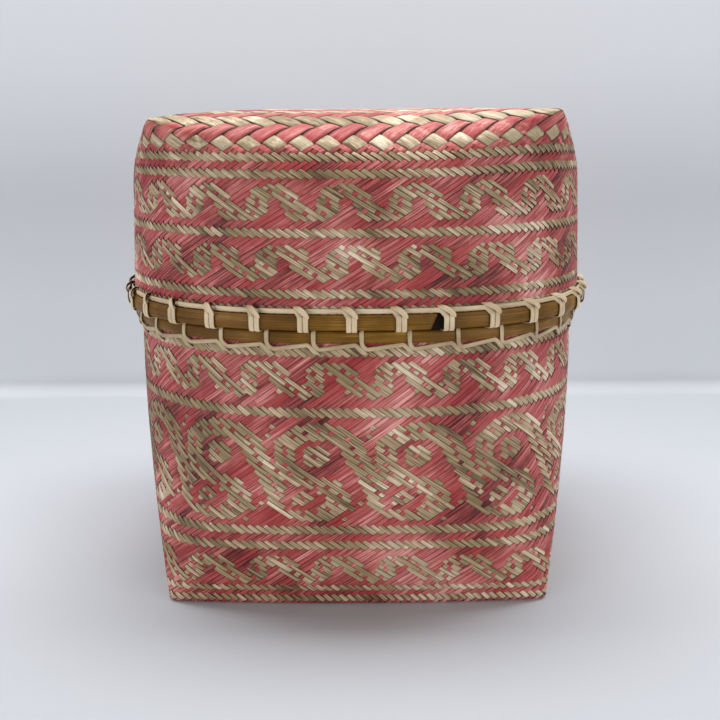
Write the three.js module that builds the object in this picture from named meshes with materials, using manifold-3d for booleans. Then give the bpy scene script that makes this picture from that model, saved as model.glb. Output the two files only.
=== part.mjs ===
import * as THREE from 'three';
import { mergeVertices } from 'three/addons/utils/BufferGeometryUtils.js';
import Module from 'manifold-3d';

// A plaited bamboo box with a lift-off lid, in millimetres. It stands on z = 0 with its middle on
// the Z axis and its front towards -Y, and the lid lifts straight up. Both halves are double
// baskets: a fine plaited skin over a coarser lining. They are square at the closed end and
// round out to a soft oval-cornered mouth, where a split-bamboo hoop outside and a flat one
// inside are lashed on with one long rattan strip.

// Overall shape
const boxHeight = 188.2;
const topCrown = 3.2; // how far the middle of the top stands above its edges
const lidHeight = 72.4; // from the top's edges to the lower edge of the lid's rim
const lidMouthHalfWidth = 92.9;
const lidOverhang = 3; // how far the lid's wall stands outside the base's wall
const lidFlare = 29; // how much longer it is round the lid's mouth than round its top
const baseFlare = 3; // the same for the base, from its bottom to the ledge
const lidBow = 1.2; // how far the top's sides bow out between their corners
const baseBow = 3.2; // the same for the bottom's sides
const mouthExponent = 2.5; // 2 gives a circle, and larger values come nearer a square
const lidRoundingHeight = 24; // how far from the top the corners round out
const baseStraight = 3.4; // how far below the ledge the base's corners have rounded out
const innerEdgeRadius = 0.4; // where the lining turns from its floor into its wall

// Layers
const plaitThickness = 0.8;
const liningThickness = 0.8;
const layerGap = 0.3; // between any two pieces that lie against each other

// Neck: the base's lining stands above the ledge, and the lid slides over it
const neckHeight = 26;
const neckClearance = 0.4; // between the neck and the lashing inside the lid's rim
const neckLean = 4.2; // how much narrower the neck is at its rim than at the ledge
const leanDepth = 14; // how far below the ledge the lining starts to lean in

// Hoops
const lidHoopHeight = 5.4;
const lidHoopThickness = 1.8;
const ledgeHoopHeight = 4.6;
const ledgeHoopThickness = 1.6;
const innerHoopThickness = 1.2;
const hoopJointGap = 1.4; // the slit where a bent hoop's two ends meet
const lidJointArc = 24; // where that slit is, to the right of the front's middle
const hiddenJointArc = 300; // the other hoops have theirs at the back

// Rattan lashing
const strandWidth = 1.8;
const strandThickness = 0.6;
const stitchShift = 3.9; // along the rim, from where a stitch goes down to where it comes out
const passageClearance = 0.25; // around the strip where it passes through the plait

// The top is flat in its middle, and falls to its edges from there
const flatShare = 0.35;
const crownShares = [flatShare, 0.6, 0.82];

const facetsPerQuarter = 12;
const facets = 4 * facetsPerQuarter;

// Worked out from the sizes above
const liningInset = plaitThickness + layerGap;
const insideInset = liningInset + liningThickness;
const edgeRadius = insideInset + innerEdgeRadius;
const lidEdgeZ = boxHeight - topCrown;
const lidRimZ = lidEdgeZ - lidHeight;
const ledgeZ = lidRimZ - 2 * layerGap - strandThickness;
const baseMouthHalfWidth = lidMouthHalfWidth - lidOverhang;
const lidRimReach = insideInset + 2 * layerGap + innerHoopThickness + strandThickness;
const neckHalfWidth = Math.min(
  lidMouthHalfWidth - lidRimReach - neckClearance,
  baseMouthHalfWidth - liningInset,
);

const lidWall = {
  mouthHalfWidth: lidMouthHalfWidth,
  flare: lidFlare,
  bow: lidBow,
  crown: topCrown,
  height: lidHeight,
  roundingHeight: lidRoundingHeight,
};
const baseWall = {
  mouthHalfWidth: baseMouthHalfWidth,
  flare: baseFlare,
  bow: baseBow,
  crown: 0,
  height: ledgeZ,
  roundingHeight: ledgeZ - baseStraight,
};

const wasm = await Module();
wasm.setup();

// How far a rounded square of half width 1 reaches in a direction. Its bow is how much further
// out the middle of each side lies.
function reachOfUnit(angle, exponent, bow) {
  const across = Math.abs(Math.sin(angle));
  const deep = Math.abs(Math.cos(angle));
  const large = Math.max(across, deep);
  const slant = Math.min(across, deep) / large;
  return (1 + bow * (1 - slant ** 2)) / (large * (1 + slant ** exponent) ** (1 / exponent));
}

// A point of the rounded square, with angles counted from the front (-Y) towards +X
function sectionPoint(angle, halfWidth, exponent, z, bow = 0) {
  const radius = halfWidth * reachOfUnit(angle, exponent, bow);
  return new THREE.Vector3(radius * Math.sin(angle), -radius * Math.cos(angle), z);
}

function outlineLengths(exponent, bow, steps) {
  const lengths = [0];
  for (let i = 1; i <= steps; i += 1) {
    const before = sectionPoint(((i - 1) / steps) * 2 * Math.PI, 1, exponent, 0, bow);
    const after = sectionPoint((i / steps) * 2 * Math.PI, 1, exponent, 0, bow);
    lengths.push(lengths[i - 1] + before.distanceTo(after));
  }
  return lengths;
}

const outlineSteps = 720;
const knownPerimeters = new Map();
function perimeterOfUnit(exponent, bow = 0) {
  const key = `${exponent} ${bow}`;
  if (!knownPerimeters.has(key)) {
    knownPerimeters.set(key, outlineLengths(exponent, bow, outlineSteps)[outlineSteps]);
  }
  return knownPerimeters.get(key);
}

// The facets' corners, spread evenly along the mouth
const mouthLengths = outlineLengths(mouthExponent, 0, outlineSteps);
const facetAngles = Array.from({ length: facets }, (_, i) => {
  const wanted = (i / facets) * mouthLengths[outlineSteps];
  const after = Math.max(1, mouthLengths.findIndex((length) => length >= wanted));
  const share = (wanted - mouthLengths[after - 1]) / (mouthLengths[after] - mouthLengths[after - 1]);
  return ((after - 1 + share) / outlineSteps) * 2 * Math.PI;
});
const facetLength = (mouthLengths[outlineSteps] * lidMouthHalfWidth) / facets;

// A place is a distance round the rim counted in facets, and may lie between two corners
function rimPoint(place, halfWidth, exponent, z) {
  const first = Math.floor(place);
  const from = facetAngles[((first % facets) + facets) % facets];
  const to = facetAngles[(((first + 1) % facets) + facets) % facets];
  const start = sectionPoint(from, halfWidth, exponent, z);
  return start.lerp(sectionPoint(to, halfWidth, exponent, z), place - first);
}

// Horizontal directions at a place: along the rim, and straight out of it
function rimAxes(place) {
  const step = 0.01;
  const before = rimPoint(place - step, 1, mouthExponent, 0);
  const along = rimPoint(place + step, 1, mouthExponent, 0).sub(before).normalize();
  return { along, out: new THREE.Vector3(along.y, -along.x, 0) };
}

// The wall's half width, squareness and bow at a height above its closed end. The same splints
// go round at every height, so the way round hardly changes while its shape does.
function wallAt(wall, height) {
  const rounding = Math.min(height / wall.roundingHeight, 1);
  const exponent = mouthExponent / (1 - (1 - rounding) ** 2);
  const mouth = perimeterOfUnit(mouthExponent) * wall.mouthHalfWidth;
  const closed = mouth - wall.flare;
  const bow = ((1 - rounding) * wall.bow * perimeterOfUnit(Infinity)) / closed;
  const perimeter = THREE.MathUtils.lerp(closed, mouth, height / wall.height);
  return { halfWidth: perimeter / perimeterOfUnit(exponent, bow), exponent, bow };
}

const lidHalfWidth = (z) => wallAt(lidWall, lidEdgeZ - z).halfWidth;
const baseHalfWidth = (z) => wallAt(baseWall, z).halfWidth;

// The outer face of the base's lining leans in under the ledge and becomes the neck above it
function baseLiningHalfWidth(z) {
  if (z >= ledgeZ) return neckHalfWidth - (neckLean * (z - ledgeZ)) / neckHeight;
  const lean = Math.max(0, 1 - (ledgeZ - z) / leanDepth);
  const stepIn = baseMouthHalfWidth - liningInset - neckHalfWidth;
  return baseHalfWidth(z) - liningInset - lean * stepIn;
}

function ring(halfWidth, { exponent, bow }, z) {
  return facetAngles.map((angle) => sectionPoint(angle, halfWidth, exponent, z, bow));
}

// Joins closed outlines of equal count into one body with a flat cap at each end. Each four
// corners are split along their shorter diagonal, so faces that lie side by side split alike.
function loft(outlines) {
  const positions = [];
  const put = (point) => positions.push(point.x, point.y, point.z) / 3 - 1;
  const rows = outlines.map((outline) => outline.map(put));
  const middle = (outline) => {
    const sum = outline.reduce((total, point) => total.add(point), new THREE.Vector3());
    return put(sum.divideScalar(outline.length));
  };
  const at = (index) => new THREE.Vector3().fromArray(positions, 3 * index);
  const count = outlines[0].length;
  const startMiddle = middle(outlines[0]);
  const endMiddle = middle(outlines[outlines.length - 1]);
  const faces = [];
  for (let i = 0; i < count; i += 1) {
    const next = (i + 1) % count;
    faces.push([startMiddle, rows[0][next], rows[0][i]]);
    for (let row = 1; row < rows.length; row += 1) {
      const [a, b, c, d] = [rows[row - 1][i], rows[row - 1][next], rows[row][next], rows[row][i]];
      const shorter = at(a).distanceTo(at(c)) < at(b).distanceTo(at(d));
      faces.push(...(shorter ? [[a, b, c], [a, c, d]] : [[a, b, d], [b, c, d]]));
    }
    faces.push([endMiddle, rows[rows.length - 1][i], rows[rows.length - 1][next]]);
  }
  const volume = faces.reduce((sum, [a, b, c]) => sum + at(a).dot(at(b).cross(at(c))), 0);
  if (volume < 0) faces.forEach((face) => face.reverse());
  const geometry = new THREE.BufferGeometry();
  geometry.setAttribute('position', new THREE.Float32BufferAttribute(positions, 3));
  geometry.setIndex(faces.flat());
  geometry.computeVertexNormals();
  return geometry;
}

// One face of a basket, from the closed end at z = 0 up to its mouth. The inset faces of one
// wall turn round the same edge, so the gaps between them stay even.
function basketFace(wall, inset, heights, halfWidthAt) {
  const flat = wallAt(wall, 0);
  const drop = (1 - Math.SQRT1_2) * edgeRadius;
  const slanted = Math.SQRT1_2 * inset;
  const bend = wallAt(wall, drop);
  const crownFall = (share) => ((share - flatShare) / (1 - flatShare)) ** 2;
  return [
    ...(wall.crown ? crownShares : []).map((share) => ring(
      share * (flat.halfWidth - edgeRadius), flat, inset - wall.crown * (1 - crownFall(share)))),
    ring(flat.halfWidth - edgeRadius, flat, inset),
    ring(bend.halfWidth - drop - slanted, bend, drop + slanted),
    ...heights.map((height) => ring(halfWidthAt(height), wallAt(wall, height), height)),
  ];
}

function basket(wall, inset, thickness, heights, outerHalfWidthAt) {
  const innerHalfWidthAt = (height) => outerHalfWidthAt(height) - thickness;
  const outer = basketFace(wall, inset, heights, outerHalfWidthAt);
  const inner = basketFace(wall, inset + thickness, heights, innerHalfWidthAt);
  return loft([...outer, ...inner.reverse()]);
}

// Heights that follow the rounding of the corners, up to one where the wall runs on straight
function wallHeights(wall, straightFrom) {
  const rounded = [0.2, 0.4, 0.65, 1].map((share) => share * wall.roundingHeight);
  return [edgeRadius, ...rounded.filter((height) => height < straightFrom), straightFrom];
}

function turnOver(geometry) {
  return geometry.rotateX(Math.PI).translate(0, 0, lidEdgeZ);
}

// A bent strip round the rim: its outline is given as offsets from a face and heights
function hoop(halfWidthAt, outline, jointArc) {
  const start = (jointArc + hoopJointGap / 2) / facetLength;
  const end = (jointArc - hoopJointGap / 2) / facetLength + facets;
  const places = [start];
  for (let corner = Math.ceil(start); corner < end; corner += 1) places.push(corner);
  places.push(end);
  const section = (place) => outline.map(([offset, z]) =>
    rimPoint(place, halfWidthAt(z) + offset, mouthExponent, z));
  return loft(places.map(section));
}

// Half-round outside, flat against the wall
function outerHoop(halfWidthAt, lowZ, height, thickness, jointArc) {
  const thinEdge = 0.4 * thickness;
  const shoulder = 0.28 * height;
  return hoop(halfWidthAt, [
    [layerGap, lowZ],
    [layerGap + thinEdge, lowZ],
    [layerGap + thickness, lowZ + shoulder],
    [layerGap + thickness, lowZ + height - shoulder],
    [layerGap + thinEdge, lowZ + height],
    [layerGap, lowZ + height],
  ], jointArc);
}

function innerHoop(halfWidthAt, lowZ, height, jointArc) {
  const near = -layerGap;
  const far = -layerGap - innerHoopThickness;
  return hoop(halfWidthAt, [
    [near, lowZ],
    [near, lowZ + height],
    [far, lowZ + height],
    [far, lowZ],
  ], jointArc);
}

// What a lashing goes round. Depth counts from the rim's edge into the wall, down on the base
// and up on the lid.
const lidRim = {
  edgeZ: lidRimZ,
  inward: 1,
  firstPlace: 0.35,
  outside: lidHalfWidth,
  inside: (z) => lidHalfWidth(z) - insideInset,
  hoopHeight: lidHoopHeight,
  hoopThickness: lidHoopThickness,
};
const baseRim = {
  edgeZ: ledgeZ,
  inward: -1,
  firstPlace: 1.35,
  outside: (z) => baseHalfWidth(Math.min(z, ledgeZ)),
  inside: (z) => baseLiningHalfWidth(z) - liningThickness,
  hoopHeight: ledgeHoopHeight,
  hoopThickness: ledgeHoopThickness,
};
const stitches = facets / 2;
const shiftPlaces = stitchShift / facetLength;
const edgeDepth = -(layerGap + strandThickness / 2);
const runDepth = (rim) => rim.hoopHeight + layerGap + strandWidth / 2;

// One stitch: down over the outer hoop, under the rim, up inside, out through the plait beyond
// the hoop, and along to the next. Each stop has a place, a half width, a depth and the way
// that the strip's flat face looks, as parts along, out and in depth.
function stitchStops(rim, place) {
  const zAt = (depth) => rim.edgeZ + rim.inward * depth;
  const outer = (depth, offset) => rim.outside(zAt(depth)) + offset;
  const inner = (depth, offset) => rim.inside(zAt(depth)) - offset;
  const half = strandThickness / 2;
  const leg = rim.hoopThickness + 2 * layerGap + half;
  const run = layerGap + half;
  const insideLeg = 2 * layerGap + innerHoopThickness + half;
  const round = layerGap + half;
  const far = runDepth(rim);
  const top = rim.hoopHeight;
  const out = place + shiftPlaces;
  const mm = (length) => length / facetLength;
  const outward = [0, 1, 0];
  const stops = [
    [place - mm(1.6), outer(far, run), far, outward],
    [place - mm(0.5), outer(far, (run + leg) / 2), far - 0.4, [0, 1, 0.3]],
    [place, outer(top, leg), 0.75 * top, outward],
    [place, outer(0, leg), 0.25 * top, outward],
    [place, outer(0, leg - half), 0, [0, 1, -0.7]],
    [place, outer(0, 0.6 * rim.hoopThickness), edgeDepth, [0, 0, -1]],
    [place, inner(0, insideLeg - round), edgeDepth, [0, 0, -1]],
    [place, inner(0, insideLeg - 0.3 * round), 0.7 * edgeDepth, [0, -1, -1]],
    [place + 0.1 * shiftPlaces, inner(0, insideLeg), layerGap, [0, -1, 0]],
    [out, inner(top, insideLeg), top, [0, -1, 0]],
    [out, inner(far, insideLeg - half), 0.3 * top + 0.7 * far, [0, -1, 1]],
    [out, inner(far, layerGap + half), far, [0, 0, 1]],
    [out, outer(far, 0), far, [0, 0, 1]],
    [out + mm(0.6), outer(far, 0.5 + run), far, [-0.5, 0.5, 1]],
    [out + mm(2.4), outer(far, 0.3 + run), far, outward],
    [Math.floor(place) + 1, outer(far, run), far, outward],
    [Math.floor(place) + 2, outer(far, run), far, outward],
  ];
  return stops.map(([at, halfWidth, depth, face]) => {
    const { along, out: outDirection } = rimAxes(at);
    const facing = along.clone().multiplyScalar(face[0]);
    facing.addScaledVector(outDirection, face[1]);
    facing.z += rim.inward * face[2];
    return { point: rimPoint(at, halfWidth, mouthExponent, zAt(depth)), facing };
  });
}

function lashingRoute(rim) {
  const route = [];
  for (let i = 0; i < stitches; i += 1) route.push(...stitchStops(rim, rim.firstPlace + 2 * i));
  return route.slice(2, -1); // it starts at the top of the first stitch and stops short of it
}

function lashing(rim) {
  const route = lashingRoute(rim);
  const corners = [[1, 1], [-1, 1], [-1, -1], [1, -1]];
  return loft(route.map(({ point, facing }, i) => {
    const before = route[Math.max(i - 1, 0)].point;
    const after = route[Math.min(i + 1, route.length - 1)].point;
    const along = after.clone().sub(before).normalize();
    const normal = facing.clone().addScaledVector(along, -facing.dot(along)).normalize();
    const side = along.clone().cross(normal);
    return corners.map(([across, up]) => point.clone()
      .addScaledVector(side, (across * strandWidth) / 2)
      .addScaledVector(normal, (up * strandThickness) / 2));
  }));
}

// The least gap between parts of a lashing that lie more than half a stitch apart on its route
function leastGap(rim) {
  const route = lashingRoute(rim).map(({ point }) => point);
  const samples = [];
  const sampleStep = 0.4;
  for (let i = 1; i < route.length; i += 1) {
    const length = route[i].distanceTo(route[i - 1]);
    const steps = Math.ceil(length / sampleStep);
    for (let j = 0; j < steps; j += 1) {
      const reached = samples.length ? samples[samples.length - 1].reached : 0;
      samples.push({ at: route[i - 1].clone().lerp(route[i], j / steps), reached: reached + length / steps });
    }
  }
  const apart = rim.hoopHeight + strandWidth;
  let least = Infinity;
  for (let i = 0; i < samples.length; i += 1) {
    for (let j = i + 1; j < samples.length; j += 1) {
      if (samples[j].reached - samples[i].reached > apart) {
        least = Math.min(least, samples[i].at.distanceTo(samples[j].at));
      }
    }
  }
  return least - strandWidth;
}

function solid(geometry) {
  const bare = geometry.clone();
  bare.deleteAttribute('normal');
  bare.deleteAttribute('uv');
  const merged = mergeVertices(bare);
  return new wasm.Manifold(new wasm.Mesh({
    numProp: 3,
    vertProperties: merged.attributes.position.array,
    triVerts: new Uint32Array(merged.index.array),
  }));
}

function geometryOf(body) {
  const mesh = body.getMesh();
  const geometry = new THREE.BufferGeometry();
  geometry.setAttribute('position', new THREE.BufferAttribute(mesh.vertProperties, 3));
  geometry.setIndex(new THREE.BufferAttribute(mesh.triVerts, 1));
  geometry.computeVertexNormals();
  return geometry;
}

// Small openings that the lashing passes through, one at each stitch
function pierce(geometry, rim, depth) {
  const z = rim.edgeZ + rim.inward * depth;
  const middleHalfWidth = (rim.outside(z) + rim.inside(z)) / 2;
  const width = strandWidth + 2 * passageClearance;
  const height = strandThickness + 2 * passageClearance;
  const reach = 2 * (lidOverhang + insideInset + neckClearance + strandWidth);
  let body = solid(geometry);
  for (let i = 0; i < stitches; i += 1) {
    const under = depth < 0 ? 0 : shiftPlaces;
    const place = rim.firstPlace + under + 2 * i;
    const { along, out } = rimAxes(place);
    const passage = new THREE.BoxGeometry(reach, width, height);
    const turn = new THREE.Matrix4().makeBasis(out, along, new THREE.Vector3(0, 0, 1));
    passage.applyMatrix4(turn.setPosition(rimPoint(place, middleHalfWidth, mouthExponent, z)));
    body = body.subtract(solid(passage));
  }
  return geometryOf(body);
}

function piece(name, geometry, color, roughness) {
  const material = new THREE.MeshStandardMaterial({ color, roughness, metalness: 0 });
  const mesh = new THREE.Mesh(geometry, material);
  mesh.name = name;
  return mesh;
}

const dyedSplint = 0xc4606a;
const strawSplint = 0xcdbf93;
const bambooSkin = 0x7a582a;
const rattanPith = 0xcbbd94;

function makeLid() {
  const heights = wallHeights(lidWall, lidHeight);
  const skinFace = (height) => wallAt(lidWall, height).halfWidth;
  const liningFace = (height) => skinFace(height) - liningInset;
  const skin = turnOver(basket(lidWall, 0, plaitThickness, heights, skinFace));
  const lining = turnOver(basket(lidWall, liningInset, liningThickness, heights, liningFace));
  const depth = runDepth(lidRim);
  const lid = new THREE.Group();
  lid.add(
    piece('lid_outer_plait', pierce(skin, lidRim, depth), dyedSplint, 0.6),
    piece('lid_lining', pierce(lining, lidRim, depth), strawSplint, 0.65),
    piece('lid_rim_hoop', outerHoop(lidRim.outside, lidRimZ, lidHoopHeight, lidHoopThickness,
      lidJointArc), bambooSkin, 0.5),
    piece('lid_inner_hoop', innerHoop(lidRim.inside, lidRimZ, lidHoopHeight, hiddenJointArc),
      bambooSkin, 0.5),
    piece('lid_lashing', lashing(lidRim), rattanPith, 0.45),
  );
  return lid;
}

function makeBase() {
  const heights = [...wallHeights(baseWall, ledgeZ - leanDepth), ledgeZ];
  const skin = basket(baseWall, 0, plaitThickness, heights, baseHalfWidth);
  const lining = basket(baseWall, liningInset, liningThickness, [...heights, ledgeZ + neckHeight],
    baseLiningHalfWidth);
  const depth = runDepth(baseRim);
  const hoopLowZ = ledgeZ - ledgeHoopHeight;
  const base = new THREE.Group();
  base.add(
    piece('base_outer_plait', pierce(skin, baseRim, depth), dyedSplint, 0.6),
    piece('base_lining', pierce(pierce(lining, baseRim, depth), baseRim, edgeDepth),
      strawSplint, 0.65),
    piece('base_ledge_hoop', outerHoop(baseRim.outside, hoopLowZ, ledgeHoopHeight,
      ledgeHoopThickness, hiddenJointArc), bambooSkin, 0.5),
    piece('base_inner_hoop', innerHoop(baseRim.inside, hoopLowZ, ledgeHoopHeight,
      hiddenJointArc), bambooSkin, 0.5),
    piece('base_lashing', lashing(baseRim), rattanPith, 0.45),
  );
  return base;
}

console.log(`Least gap of the lid's lashing to itself: ${leastGap(lidRim).toFixed(2)} mm`);
console.log(`Least gap of the base's lashing to itself: ${leastGap(baseRim).toFixed(2)} mm`);

const box = new THREE.Group();
box.add(makeBase(), makeLid());
export default box;
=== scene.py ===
import math

import bpy
import numpy as np
from mathutils import Matrix, Vector


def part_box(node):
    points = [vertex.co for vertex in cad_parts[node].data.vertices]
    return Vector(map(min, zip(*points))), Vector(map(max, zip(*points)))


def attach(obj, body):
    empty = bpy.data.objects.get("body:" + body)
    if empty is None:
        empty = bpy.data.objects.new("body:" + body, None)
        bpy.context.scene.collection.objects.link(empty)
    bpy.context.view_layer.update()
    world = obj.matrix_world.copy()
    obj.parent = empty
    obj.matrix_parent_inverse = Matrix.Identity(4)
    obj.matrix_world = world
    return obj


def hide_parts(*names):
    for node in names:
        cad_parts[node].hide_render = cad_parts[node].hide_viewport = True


# A plaited bamboo box with a lift-off lid. Shapes are worked out in millimetres and turned into
# metres when a mesh is made. +Z is up and the front looks towards -Y.

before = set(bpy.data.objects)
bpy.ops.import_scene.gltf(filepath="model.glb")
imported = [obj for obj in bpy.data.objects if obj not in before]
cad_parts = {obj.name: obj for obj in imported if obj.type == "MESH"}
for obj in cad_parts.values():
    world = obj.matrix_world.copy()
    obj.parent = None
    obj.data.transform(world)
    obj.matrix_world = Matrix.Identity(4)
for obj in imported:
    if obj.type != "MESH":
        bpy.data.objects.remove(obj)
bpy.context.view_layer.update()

mm = 0.001
chance = np.random.default_rng(41)


def cadSize(node, end, axis):  # where a node ends: end 0 is its low corner, 1 its high one
    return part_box(node)[end][axis] / mm


def note(stage):
    print(f"bamboo box: {stage}")


# Camera: where the photograph was taken from
cameraPlace = {"right": 1.4, "back": 435.0, "up": 182.9}
cameraTurn = {"down": 13.36, "roll": -0.3}  # degrees
focalLength = 50  # on a sensor 36 wide, and the frame is square


def setCamera():
    data = bpy.data.cameras.new("camera")
    data.lens = focalLength
    data.sensor_width = 36
    data.clip_start = 0.01
    camera = bpy.data.objects.new("camera", data)
    bpy.context.scene.collection.objects.link(camera)
    place = Vector((cameraPlace["right"], -cameraPlace["back"], cameraPlace["up"])) * mm
    tilt = Matrix.Rotation(math.radians(90 - cameraTurn["down"]), 4, "X")
    roll = Matrix.Rotation(math.radians(cameraTurn["roll"]), 4, "Z")
    camera.matrix_world = Matrix.Translation(place) @ tilt @ roll
    bpy.context.scene.camera = camera
    bpy.context.scene.view_settings.view_transform = "Standard"


# Shader building


def paint(red, green, blue):  # a colour as it looks on a screen, 0 to 255
    def straight(value):
        value /= 255
        return value / 12.92 if value <= 0.04045 else ((value + 0.055) / 1.055) ** 2.4

    return (straight(red), straight(green), straight(blue), 1)


class Wire:  # an output socket that can be reckoned with like a number
    def __init__(self, finish, socket):
        self.finish = finish
        self.socket = socket

    def maths(self, operation, first, second=0.0):
        return self.finish.node("ShaderNodeMath", {"operation": operation}, {0: first, 1: second})

    def __add__(self, other):
        return self.maths("ADD", self, other)

    def __sub__(self, other):
        return self.maths("SUBTRACT", self, other)

    def __rsub__(self, other):
        return self.maths("SUBTRACT", other, self)

    def __mul__(self, other):
        return self.maths("MULTIPLY", self, other)

    def __gt__(self, other):
        return self.maths("GREATER_THAN", self, other)

    def __pow__(self, other):
        return self.maths("POWER", self, other)

    def floor(self):
        return self.maths("FLOOR", self)

    def part(self):  # what is left after the decimal point
        return self.maths("FRACT", self)

    def size(self):
        return self.maths("ABSOLUTE", self)

    __radd__ = __add__
    __rmul__ = __mul__


class Finish:  # one material, or the world's
    def __init__(self, name, kind=bpy.data.materials):
        self.material = kind.new(name)
        self.material.use_nodes = True
        self.tree = self.material.node_tree
        self.surface = self.tree.nodes.get("Principled BSDF")

    def join(self, value, socket):
        if isinstance(value, Wire):
            self.tree.links.new(value.socket, socket)
        else:
            socket.default_value = value

    def node(self, kind, settings=None, sockets=None, output=0):
        made = self.tree.nodes.new(kind)
        for name, value in (settings or {}).items():
            if name == "stops":
                stops = made.color_ramp.elements
                while len(stops) < len(value):
                    stops.new(0.5)
                for stop, (position, color) in zip(stops, value):
                    stop.position = position
                    stop.color = color
            else:
                setattr(made, name, value)
        for name, value in (sockets or {}).items():
            self.join(value, made.inputs[name])
        return Wire(self, made.outputs[output])

    def mix(self, share, first, second):
        sockets = {0: share, 6: first, 7: second}
        return self.node("ShaderNodeMix", {"data_type": "RGBA"}, sockets, 2)

    def ramp(self, value, stops):
        return self.node("ShaderNodeValToRGB", {"stops": stops}, {0: value})

    def noise(self, vector, scale, detail=2.0, roughness=0.5):
        sockets = {"Vector": vector, "Scale": scale, "Detail": detail, "Roughness": roughness}
        return self.node("ShaderNodeTexNoise", {}, sockets)

    def vector(self, x, y, z=0.0):
        return self.node("ShaderNodeCombineXYZ", {}, {0: x, 1: y, 2: z})

    def axes(self, vector, *wanted):
        return [self.node("ShaderNodeSeparateXYZ", {}, {0: vector}, axis) for axis in wanted]

    def map(self):  # u and v
        return self.axes(self.node("ShaderNodeUVMap"), 0, 1)

    def place(self):  # where a point lies, in metres
        return self.node("ShaderNodeTexCoord", output="Object")

    def random(self, x, y):
        sockets = {"Vector": self.vector(x, y)}
        return self.node("ShaderNodeTexWhiteNoise", {"noise_dimensions": "2D"}, sockets)

    def bump(self, height, strength, distance):
        sockets = {"Height": height, "Strength": strength, "Distance": distance * mm}
        self.join(self.node("ShaderNodeBump", {}, sockets), self.surface.inputs["Normal"])

    def set(self, **sockets):
        for name, value in sockets.items():
            self.join(value, self.surface.inputs[name.replace("_", " ")])
        return self.material


# Splints: the map runs along each splint in u, and v counts them. Of each count, the first 0.65
# is the splint's face.
faceMiddle = 0.325
roseSplint = {
    "tones": [
        paint(80, 16, 18), paint(160, 68, 64), paint(203, 112, 106), paint(244, 177, 169)],
    # The wide strips take lighter, less mottled tones: partly their own colour, partly a painted
    # sheen of the light on the top
    "wideTones": [
        paint(104, 34, 34), paint(176, 82, 78), paint(208, 116, 108), paint(246, 180, 170)],
    "accent": paint(172, 44, 50),
    "accentShare": 0.34,  # larger values stain more of it
    "seed": 3,
}
strawSplint = {
    "tones": [
        paint(84, 64, 36), paint(157, 132, 99), paint(204, 178, 145), paint(250, 233, 208)],
    # The wide strips take lighter, less mottled tones: partly their own colour, partly a painted
    # sheen of the light on the top
    "wideTones": [
        paint(122, 102, 66), paint(180, 158, 124), paint(215, 195, 163), paint(252, 240, 218)],
    "accent": paint(148, 128, 88),
    "accentShare": 0.3,
    "seed": 8,
}
liningSplint = {
    "tones": [
        paint(132, 112, 78), paint(178, 157, 118), paint(198, 179, 141), paint(222, 206, 172)],
    "accent": paint(184, 158, 108),
    "accentShare": 0.3,
    "seed": 15,
}


def splintFinish(name, look, count):
    finish = Finish(name)
    along, counted = finish.map()
    counted = counted * float(count)
    splint = counted.floor()
    seed = look["seed"] * 1.7
    own = finish.random(splint, seed)
    stretch = finish.noise(finish.vector(along * 7.0, splint * 3.1, seed), 1.0, 2.0)
    fibres = finish.noise(finish.vector(along * 8.0, counted * 7.0, seed), 1.0, 4.0, 0.8)
    patches = finish.noise(finish.place(), 34.0, 3.0)
    tone = own * 0.24 + stretch * 0.7 + fibres * 2.1 + patches * 1.4 - 1.72
    dark, middle, light, pale = look["tones"]
    color = finish.ramp(tone, [(0.08, dark), (0.38, middle), (0.63, light), (1.0, pale)])
    stain = finish.noise(finish.vector(along * 4.0, splint * 0.23, seed + 9), 1.0, 2.0)
    stained = stain + own * 0.14 > 0.66 - look["accentShare"] * 0.2
    color = finish.mix(stained * 0.5, color, look["accent"])
    # Painted shade: the edges of each splint are darker than the face between them, for the shade
    # in the slits between splints
    edgeShade = ((counted.part() - faceMiddle).size() * 3.45) ** 7.0
    color = finish.mix(edgeShade * 0.6, color, finish.mix(0.7, dark, paint(40, 24, 14)))
    finish.bump(fibres, 0.6, 0.16)
    return finish.set(
        Base_Color=color, Roughness=0.72 - fibres * 0.35, Specular_IOR_Level=0.36)


tongueMap = 0.02  # a hoop's darkened tongue lies below this on its map, and the rest above; its dark is partly stain, partly painted shade of the joint's slit


def hoopFinish():
    finish = Finish("brown_bamboo_skin")
    along, over = finish.map()
    grain = finish.noise(finish.vector(along * 30.0, over * 60.0), 1.0, 3.0, 0.65)
    lines = finish.noise(finish.vector(along * 9.0, over * 150.0, 4.0), 1.0, 2.0)
    clouds = finish.noise(finish.place(), 60.0, 3.0)
    tone = grain * 0.8 + lines * 0.65 + clouds * 0.5 - 0.47
    # The tongue that a hoop's first end lays across its joint is darkened: partly a dark stain,
    # partly painted shade in the joint's slit
    offTongue = along > tongueMap
    tone = tone * offTongue
    stops = [
        (0.1, paint(22, 12, 2)),
        (0.42, paint(98, 63, 8)),
        (0.65, paint(140, 98, 22)),
        (0.95, paint(226, 194, 122)),
    ]
    finish.bump(grain + lines * 0.6, 0.4, 0.15)
    return finish.set(
        Base_Color=finish.ramp(tone, stops), Roughness=0.85 - clouds * offTongue * 0.7,
        Coat_Weight=offTongue * 0.06, Coat_Roughness=0.3, Specular_IOR_Level=0.2,
    )


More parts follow.
